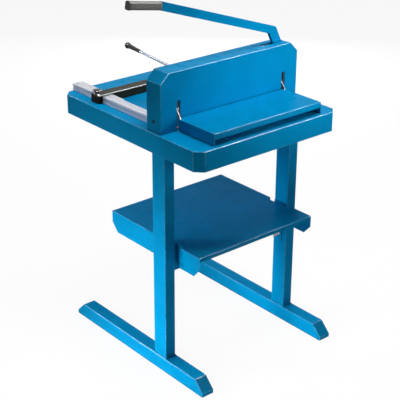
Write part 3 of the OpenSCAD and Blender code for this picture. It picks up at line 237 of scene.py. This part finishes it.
def steel(name, colour, rough, streak, scale=(1, 1, 1), wear_and_highlight=None):
    """Bright or ground steel with fine streaks along one axis."""
    s = Shader(name, Metallic=1.0)
    lines = s.noise(streak, 5.0, 0.6, s.stretch(*scale))
    cloud = s.noise(11.0, 4.0, 0.6)
    base = s.mix(s.span(lines, 0.35, 0.65, 0.0, 1.0), shade(colour, 0.86), colour)
    base = s.mix(s.span(cloud, 0.4, 0.75, 0.0, 0.25), base, shade(colour, 0.7))
    # Paler edges: wear on the ground steel, a painted highlight along the dark arms' edges
    if wear_and_highlight:
        rub = s.math("MULTIPLY", s.edges(0.0012), 0.6)
        base = s.mix(rub, base, wear_and_highlight)
    brushed = s.span(lines, 0.3, 0.7, rough - 0.05, rough + 0.05)
    gloss = s.math("ADD", brushed, s.span(cloud, 0.4, 0.7, 0.0, 0.06))
    return s.out(Base_Color=base, Roughness=gloss, Normal=s.bump(lines, 0.08, 0.0003))


def plastic(name, colour, rough, grain, pale, level=0.5):
    """Moulded plastic with a fine grain and rubbed edges."""
    s = Shader(name, IOR=1.48, Specular_IOR_Level=level)
    drift = s.span(s.noise(18.0, 3.0), 0.3, 0.7, 0.0, 1.0)
    base = s.mix(drift, shade(colour, 0.85), colour)
    patch = s.span(s.noise(90.0, 3.0), 0.4, 0.65, 0.1, 0.7)
    rub = s.math("MULTIPLY", s.edges(0.0016), patch)
    base = s.mix(rub, base, pale)
    gloss = s.span(s.noise(22.0, 4.0), 0.3, 0.7, rough - 0.05, rough + 0.08)
    return s.out(Base_Color=base, Roughness=gloss, Normal=s.bump(s.noise(grain, 2.0), 0.12, 0.0004))


def anodised(name, colour, rim):
    """Dark anodised bar: streaks along its length and a brown, thinner film at its edges."""
    s = Shader(name, IOR=1.5, Specular_IOR_Level=0.05)
    lines = s.noise(90.0, 4.0, 0.6, s.stretch(0.3, 6, 6))
    base = s.mix(s.span(lines, 0.35, 0.65, 0.0, 1.0), shade(colour, 0.8), colour)
    patch = s.span(s.noise(70.0, 3.0), 0.35, 0.65, 0.3, 0.9)
    rub = s.math("MULTIPLY", s.edges(0.0018, 0.01, 0.15), patch)
    base = s.mix(rub, base, rim)
    gloss = s.span(lines, 0.3, 0.7, 0.34, 0.46)
    return s.out(Base_Color=base, Roughness=gloss, Normal=s.bump(lines, 0.06, 0.0003))


def graduated(name, x0, z_top):
    """Satin aluminium with graduation lines across its top, at 1, 5 and 10 mm."""
    s = Shader(name, Specular_IOR_Level=0.3)
    x, y, z = s.axes()
    marks = []
    for pitch, width, length in GRADUATION:
        part = s.math("FRACT", s.math("DIVIDE", y, pitch))
        away = s.math("ABSOLUTE", s.math("SUBTRACT", part, 0.5))
        on = s.math("LESS_THAN", away, width / pitch)
        near = s.math("LESS_THAN", x, x0 + length)
        marks.append(s.math("MULTIPLY", on, near))
    lines = s.math("MAXIMUM", s.math("MAXIMUM", marks[0], marks[1]), marks[2])
    above = s.math("GREATER_THAN", z, z_top - TOP_DEPTH)
    below = s.math("LESS_THAN", z, z_top + TOP_DEPTH)
    lines = s.math("MULTIPLY", lines, s.math("MULTIPLY", above, below))
    grain = s.noise(240.0, 4.0, 0.6, s.stretch(6, 0.25, 6))
    cloud = s.span(s.noise(8.0, 3.0), 0.4, 0.7, 0.0, 0.12)
    base = s.mix(s.span(grain, 0.35, 0.65, 0.0, 1.0), rgb(228, 229, 240), rgb(246, 246, 252))
    base = s.mix(cloud, base, rgb(212, 214, 228))
    base = s.mix(s.math("MULTIPLY", lines, 0.8), base, rgb(96, 98, 110))
    gloss = s.math("ADD", s.span(grain, 0.3, 0.7, 0.3, 0.4), s.math("MULTIPLY", lines, 0.2))
    return s.out(Base_Color=base, Roughness=gloss, Normal=s.bump(grain, 0.06, 0.0003))


# Materials: paint and plastic in a picture's colours, metal by its reflectance
guide_low, guide_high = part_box("side_guide")
# Blue coat: the third colour paints the folds paler (wear and a painted highlight), the fourth is the
# painted shade in joints
BLUE = powder("blue_powder_coat", rgb(0, 145, 201), rgb(150, 212, 238), rgb(0, 18, 36))
DARK = plastic("dark_casting_paint", rgb(52, 55, 58), 0.45, 260.0, rgb(110, 112, 115))
CHROME = steel("chrome_plate", (0.82, 0.83, 0.84, 1), 0.16, 30.0, (1, 6, 6))
# Near-black arms stand in for the shade in the slot behind the cover (painted shade), with a painted
# highlight along their edges
ARM = steel("dark_steel", (0.03, 0.03, 0.033, 1), 0.3, 60.0, wear_and_highlight=(0.4, 0.41, 0.42, 1))
ROD = steel("bright_rod", (0.34, 0.38, 0.44, 1), 0.22, 40.0, (6, 1, 1))
ZINC = steel("zinc_plate", (0.62, 0.63, 0.64, 1), 0.34, 60.0)
GROUND = steel("ground_tool_steel", (0.55, 0.56, 0.58, 1), 0.3, 160.0, (0.4, 1, 8), (0.8, 0.81, 0.83, 1))
BAR = anodised("dark_anodised_bar", rgb(58, 58, 44), rgb(104, 64, 32))
NEAR_BLACK = anodised("black_anodised_block", rgb(18, 17, 13), rgb(52, 44, 32))
GRIP = plastic("grey_grip_plastic", rgb(122, 122, 116), 0.6, 500.0, rgb(160, 160, 154), 0.15)
CAP = plastic("dark_cap_plastic", rgb(62, 62, 58), 0.5, 500.0, rgb(104, 104, 98), 0.2)
BLACK = plastic("black_knob_plastic", rgb(16, 16, 15), 0.26, 650.0, rgb(70, 64, 50), 0.3)
STICK = plastic("cutting_stick_plastic", rgb(214, 205, 176), 0.5, 300.0, rgb(232, 226, 204))
GUIDE = graduated("graduated_aluminium", guide_low[0], guide_high[2] - GUIDE_RIM)
STRIP = steel("silver_strip", (0.16, 0.165, 0.175, 1), 0.42, 120.0, (0.3, 4, 4))


def clean(node):
    """The CAD node's mesh as a bmesh with whole flat faces."""
    bm = bmesh.new()
    bm.from_mesh(NODES[node].data)
    bmesh.ops.remove_doubles(bm, verts=bm.verts, dist=SAME_POINT)
    flat = math.radians(FLAT_ANGLE)
    bmesh.ops.dissolve_limit(bm, angle_limit=flat, verts=bm.verts, edges=bm.edges, delimit={"NORMAL"})
    return bm


def reach(face, edge):
    """How far a face reaches away from one of its edges."""
    a, b = (v.co for v in edge.verts)
    side = (b - a).cross(face.normal)
    if side.length < NO_LENGTH:
        return 0.0
    side.normalize()
    return max(abs((v.co - a).dot(side)) for v in face.verts)


def corners(bm, angle, length):
    """The outward edges that are sharper and longer than given."""
    sharp = [e for e in bm.edges if len(e.link_faces) == 2 and e.calc_face_angle(0.0) > math.radians(angle)]
    return [e for e in sharp if e.is_convex and e.calc_length() > length]


def ease(bm, edges, radius, steps):
    """Rounds the edges and gives back the new faces."""
    return bmesh.ops.bevel(
        bm, geom=edges, offset=radius, segments=steps, profile=0.5, affect="EDGES", clamp_overlap=True
    )["faces"]


def dress(node, mat, fold=0.0, wide=0.008, fine=0.00035, change=None):
    """A piece that stands for the CAD node, with rounded folds and eased edges."""
    bm = clean(node)
    if change:
        change(bm)
    mark = bm.faces.layers.float.new(FOLD)
    if fold:
        sharp = corners(bm, FOLD_ANGLE, SHORTEST_FOLD)
        bends = [e for e in sharp if min(reach(f, e) for f in e.link_faces) > wide]
        for f in ease(bm, bends, fold, FOLD_STEPS):
            f[mark] = 1.0
    if fine:
        ease(bm, corners(bm, EDGE_ANGLE, SHORTEST_EDGE), fine, 1)
    bmesh.ops.dissolve_degenerate(bm, dist=SAME_POINT, edges=bm.edges)
    bmesh.ops.triangulate(bm, faces=[f for f in bm.faces if len(f.verts) > 4])
    mesh = bpy.data.meshes.new(node + "_piece")
    bm.normal_update()
    bm.to_mesh(mesh)
    bm.free()
    obj = place(mesh, node + "_piece", node, mat)
    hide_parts(node)


def round_off(mesh):
    """Corner normals that keep large faces flat and blend across gentle angles."""
    mesh.polygons.foreach_set("use_smooth", [True] * len(mesh.polygons))
    around = [[] for _ in mesh.vertices]
    planes = []
    area = {}
    for p in mesh.polygons:
        planes.append((*(round(c, 3) for c in p.normal), round(p.normal.dot(p.center), 5)))
        area[planes[-1]] = area.get(planes[-1], 0.0) + p.area * SQUARE_MM
        for v in p.vertices:
            around[v].append(p.index)
    facing = [(p.normal.copy(), p.normal * area[planes[p.index]] ** AREA_POWER) for p in mesh.polygons]
    gentle = math.cos(math.radians(GENTLE_ANGLE))
    normals = [None] * len(mesh.loops)
    for p in mesh.polygons:
        own = facing[p.index][0]
        for v, corner in zip(p.vertices, p.loop_indices):
            total = sum((facing[f][1] for f in around[v] if facing[f][0].dot(own) > gentle), Vector())
            normals[corner] = total.normalized()
    mesh.normals_split_custom_set(normals)


def place(mesh, name, node, mat):
    """Puts a mesh in the scene as a piece of the node's body."""
    mesh.materials.clear()
    mesh.materials.append(mat)
    round_off(mesh)
    obj = bpy.data.objects.new(name, mesh)
    bpy.context.scene.collection.objects.link(obj)
    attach(obj, BODY[node])
    return obj


def bead(name, node, mat, points):
    """A weld bead round a closed path, as rings that swell and shrink from pass to pass."""
    path = []
    for a, b in zip(points, points[1:] + points[:1]):
        a, b = Vector(a), Vector(b)
        count = max(2, round((b - a).length / (WELD_PITCH / 4)))
        path += [a.lerp(b, i / count) for i in range(count)]
    turns = [2 * math.pi * k / WELD_SIDES for k in range(WELD_SIDES)]
    bm = bmesh.new()
    rings = []
    for i, p in enumerate(path):
        ahead = (path[(i + 1) % len(path)] - path[i - 1]).normalized()
        side = ahead.orthogonal().normalized()
        other = ahead.cross(side)
        swell = math.sin(i * math.pi / 2) + WELD_DRIFT * math.sin(i * WELD_DRIFT_STEP)
        r = WELD_R * (1 + WELD_RIPPLE * swell)
        rings.append([bm.verts.new(p + r * (math.cos(t) * side + math.sin(t) * other)) for t in turns])
    for low, high in zip(rings, rings[1:] + rings[:1]):
        near = min(range(WELD_SIDES), key=lambda k: (high[k].co - low[0].co).length)
        for k in range(WELD_SIDES):
            after = (k + 1) % WELD_SIDES
            over = high[(after + near) % WELD_SIDES]
            bm.faces.new((low[k], low[after], over, high[(k + near) % WELD_SIDES]))
    bmesh.ops.recalc_face_normals(bm, faces=bm.faces)
    mesh = bpy.data.meshes.new(name)
    bm.to_mesh(mesh)
    bm.free()
    place(mesh, name, node, mat)


def trim_flanges(bm):
    """Keeps the cover's side flanges off the housing, below its top."""
    low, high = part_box("front_cover")
    for v in bm.verts:
        if v.co.y > high[1] - FLANGE_BACK_ZONE and v.co.z < high[2] - FLANGE_TOP_ZONE:
            v.co.y -= FLANGE_GAP


def widen_slots(bm):
    """Moves the outer side of each arm slot away from its arm."""
    low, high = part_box("front_cover")
    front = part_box("housing_shell")[0][1]
    for v in bm.verts:
        near = v.co.y < front + SLOT_FRONT_ZONE and v.co.z < high[2] + SLOT_ABOVE_COVER
        for edge, way in ((low[0], -1), (high[0], 1)):
            if near and abs(v.co.x - edge) < SLOT_SIDE_ZONE:
                v.co.x += way * SLOT_OUT


def lengthen_grip(bm):
    """Moves the neck of the clamp lever's grip down along its rod."""
    along = Vector((0, math.cos(CLAMP_RISE), math.sin(CLAMP_RISE)))
    neck = min(v.co.dot(along) for v in bm.verts)
    for v in bm.verts:
        if v.co.dot(along) < neck + NECK_ZONE:
            v.co -= GRIP_MORE * along


def shorten_lever(bm):
    """Moves the lever's far end back along its grip."""
    low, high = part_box("lever_grip")
    grip = [v.co for v in NODES["lever_grip"].data.vertices]
    far = [p for p in grip if p.x < low[0] + END_ZONE]
    near = [p for p in grip if p.x > high[0] - END_ZONE]
    along = sum(near, Vector()) / len(near) - sum(far, Vector()) / len(far)
    along.normalize()
    for v in bm.verts:
        if v.co.x < low[0] + END_ZONE:
            v.co += GRIP_LESS * along


# Sheet metal and tubes, with their bends
dress("table_top", BLUE, fold=0.0045)
dress("housing_shell", BLUE, fold=0.0036, change=widen_slots)
dress("front_cover", BLUE, fold=0.0026, change=trim_flanges)
dress("shelf", BLUE, fold=0.0026)
for n in ("left_column", "right_column", "left_foot", "right_foot"):
    dress(n, BLUE, fold=0.0034)
for n in ("shelf_beam", "shelf_brackets"):
    dress(n, BLUE, fold=0.0014)
dress("blade_lever", BLUE, fold=0.0014, wide=0.006)

# Machined and cast pieces
CAST = ("left_end_frame", "right_end_frame", "frame_beam", "shaft_bearings", "blade_carrier", "clamp_bar")
for n in CAST:
    dress(n, DARK, fold=0.0012, wide=0.006)
dress("cover_arms", ARM, fold=0.0006, wide=0.002)
for n in ("blade", "clamp_racks", "clamp_sectors"):
    dress(n, GROUND, fine=0.0002)
for n in ("clamp_shaft", "lever_axle", "guide_pins"):
    dress(n, CHROME, fine=0.0006)
dress("clamp_lever", ROD, fine=0.0006)
dress("side_guide", GUIDE, fine=0.0004)
dress("back_gauge", BAR, fold=0.0008, wide=0.003)
dress("gauge_block", NEAR_BLACK, fold=0.0008, wide=0.003)
dress("gauge_strip", STRIP, fine=0.0002)
dress("cutting_stick", STICK, fine=0.0003)
dress("stick_channel", ZINC, fine=0.0004)
dress("lever_grip", GRIP, fine=0.0008, change=shorten_lever)
dress("grip_cap", CAP, fold=0.0025, wide=0.003, change=shorten_lever)
dress("clamp_grip", BLACK, fine=0.0, change=lengthen_grip)
dress("gauge_knob", BLACK, fine=0.0)

# Screws, pins and rivets
SMALL = {
    "frame_bolts": ZINC, "housing_screws": ZINC, "axle_ring": ZINC, "cover_pins": CHROME,
    "bearing_bolts": ZINC, "guide_screws": ZINC, "table_bolts": ZINC, "bracket_screws": ZINC,
    "arm_rivets": BLUE, "drive_roller": GROUND, "roller_pin": GROUND, "blade_bolts": GROUND,
    "rack_screws": GROUND, "gauge_screws": ZINC,
}
for n, mat in SMALL.items():
    dress(n, mat, fine=0.0003)


def column_weld(side):
    """The bead round the foot of a column."""
    foot_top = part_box(side + "_foot")[1][2]
    tube = [v.co for v in NODES[side + "_column"].data.vertices if v.co.z < foot_top + END_ZONE]
    x0, x1 = min(p.x for p in tube), max(p.x for p in tube)
    y0, y1 = min(p.y for p in tube), max(p.y for p in tube)
    z = foot_top + WELD_R * WELD_SUNK
    round_tube = [(x0, y0, z), (x1, y0, z), (x1, y1, z), (x0, y1, z)]
    bead(side + "_column_weld", side + "_foot", BLUE, round_tube)


for side in ("left", "right"):
    column_weld(side)


def camera():
    """The camera solved from the photograph."""
    data = bpy.data.cameras.new("camera")
    data.sensor_width = SENSOR
    data.lens = SENSOR * FOCAL / IMAGE
    data.clip_start = CLIP_START
    data.clip_end = CLIP_END
    cam = bpy.data.objects.new("camera", data)
    turn = Matrix((CAMERA_RIGHT, CAMERA_UP, -CAMERA_AHEAD)).transposed().to_4x4()
    cam.matrix_world = Matrix.Translation(CAMERA_AT) @ turn
    bpy.context.scene.collection.objects.link(cam)
    bpy.context.scene.camera = cam


def lamp(name, kind, at, to, power, **settings):
    """A lamp at one point that faces another, and that the camera doesn't see."""
    data = bpy.data.lights.new(name, kind)
    data.energy = power
    for key, value in settings.items():
        setattr(data, key, value)
    obj = bpy.data.objects.new(name, data)
    obj.location = at
    obj.rotation_euler = (Vector(to) - Vector(at)).to_track_quat("-Z", "Y").to_euler()
    obj.visible_camera = False
    bpy.context.scene.collection.objects.link(obj)
    return obj


def spot(name, at, to, power, cone, size):
    """A soft spot with its cone in degrees."""
    angle = math.radians(cone)
    lamp(name, "SPOT", at, to, power, spot_size=angle, spot_blend=1.0, shadow_soft_size=size)


def glint(name, at, to, power, kind="AREA", **settings):
    """A lamp that shows in folds and bright metal alone."""
    lamp(name, kind, at, to, power, **settings).visible_diffuse = False


def see_white(tree, lit, white, share):
    """The camera, mirrors and glass see mostly white there; other light is as lit."""
    path = tree.nodes.new("ShaderNodeLightPath")
    seen = path.outputs["Is Camera Ray"]
    for kind in ("Is Glossy Ray", "Is Transmission Ray"):
        either = tree.nodes.new("ShaderNodeMath")
        either.operation = "MAXIMUM"
        tree.links.new(seen, either.inputs[0])
        tree.links.new(path.outputs[kind], either.inputs[1])
        seen = either.outputs[0]
    part = tree.nodes.new("ShaderNodeMath")
    part.operation = "MULTIPLY"
    part.inputs[1].default_value = share
    tree.links.new(seen, part.inputs[0])
    mix = tree.nodes.new("ShaderNodeMixShader")
    tree.links.new(part.outputs[0], mix.inputs[0])
    tree.links.new(lit, mix.inputs[1])
    tree.links.new(white, mix.inputs[2])
    return mix.outputs[0]


def world():
    """A dim, even world that the camera and mirrors see as white."""
    w = bpy.data.worlds.new("studio")
    bpy.context.scene.world = w
    w.use_nodes = True
    t = w.node_tree
    soft = t.nodes["Background"]
    soft.inputs["Color"].default_value = (1, 1, 1, 1)
    soft.inputs["Strength"].default_value = WORLD_LIGHT
    white = t.nodes.new("ShaderNodeBackground")
    white.inputs["Strength"].default_value = WORLD_WHITE
    white.inputs["Color"].default_value = (1, 1, 1, 1)
    seen = see_white(t, soft.outputs[0], white.outputs[0], 1.0)
    t.links.new(seen, t.nodes["World Output"].inputs["Surface"])


def floor():
    """A pale floor that keeps the object's shadow."""
    mesh = bpy.data.meshes.new("floor")
    half = FLOOR_HALF
    ends = [(-half, -half, 0), (half, -half, 0), (half, half, 0), (-half, half, 0)]
    mesh.from_pydata(ends, [], [(0, 1, 2, 3)])
    mat = bpy.data.materials.new("pale_floor")
    mat.use_nodes = True
    t = mat.node_tree
    bsdf = t.nodes["Principled BSDF"]
    bsdf.inputs["Roughness"].default_value = FLOOR_ROUGH
    path = t.nodes.new("ShaderNodeLightPath")
    tone = t.nodes.new("ShaderNodeMix")
    tone.inputs[2].default_value = FLOOR_LIT
    tone.inputs[3].default_value = 1.0
    t.links.new(path.outputs["Is Camera Ray"], tone.inputs[0])
    t.links.new(tone.outputs[0], bsdf.inputs["Base Color"])
    glow = t.nodes.new("ShaderNodeEmission")
    glow.inputs["Strength"].default_value = 1.0
    seen = see_white(t, bsdf.outputs[0], glow.outputs[0], FLOOR_WHITE)
    t.links.new(seen, t.nodes["Material Output"].inputs["Surface"])
    mesh.materials.append(mat)
    obj = bpy.data.objects.new("floor", mesh)
    bpy.context.scene.collection.objects.link(obj)


camera()
world()
floor()
lamp("overhead", "AREA", at=(0.3, -0.5, 3.6), to=(0, 0, 0.8), power=57, size=1.2)
lamp("behind", "AREA", at=(-0.6, 1.6, 3.0), to=(0, 0, 0.9), power=13, size=1.2)
far_side = lamp("far_side", "AREA", at=(2.4, 2.6, 1.0), to=(0, 0, 0.7), power=60, size=1.2)
far_side.visible_glossy = False
glint(
    "right_glint", at=(1.95, -1.15, 3.1), to=(0.05, -0.1, 0.97), power=700,
    shape="RECTANGLE", size=1.8, size_y=0.7,
)
glint("left_glint", at=(-1.2, -2.2, 2.7), to=(-0.2, -0.1, 0.95), power=330, size=0.7)
glint("top_glint", at=(-1.05, -0.8, 3.6), to=(-0.15, -0.3, 0.85), power=330, size=0.7)
glint(
    "side_glint", at=(-1.7, 2.1, 1.8), to=(-0.25, 0, 0.15), power=1100, kind="SPOT",
    spot_size=0.3, spot_blend=0.3, shadow_soft_size=0.4,
)
spot("front", at=(1.6, -2.9, 1.5), to=(0.16, -0.12, 0.98), power=320, cone=16, size=0.2)
spot("left", at=(-2.5, 0.15, 0.55), to=(-0.22, -0.08, 0.14), power=120, cone=30, size=0.3)
spot("left_foot", at=(-2.5, -0.1, 0.35), to=(-0.22, -0.15, 0.08), power=140, cone=16, size=0.3)
spot("shelf", at=(-1.7, 1.1, 1.0), to=(-0.15, -0.05, 0.25), power=120, cone=34, size=0.3)
bpy.context.scene.view_settings.view_transform = "Standard"
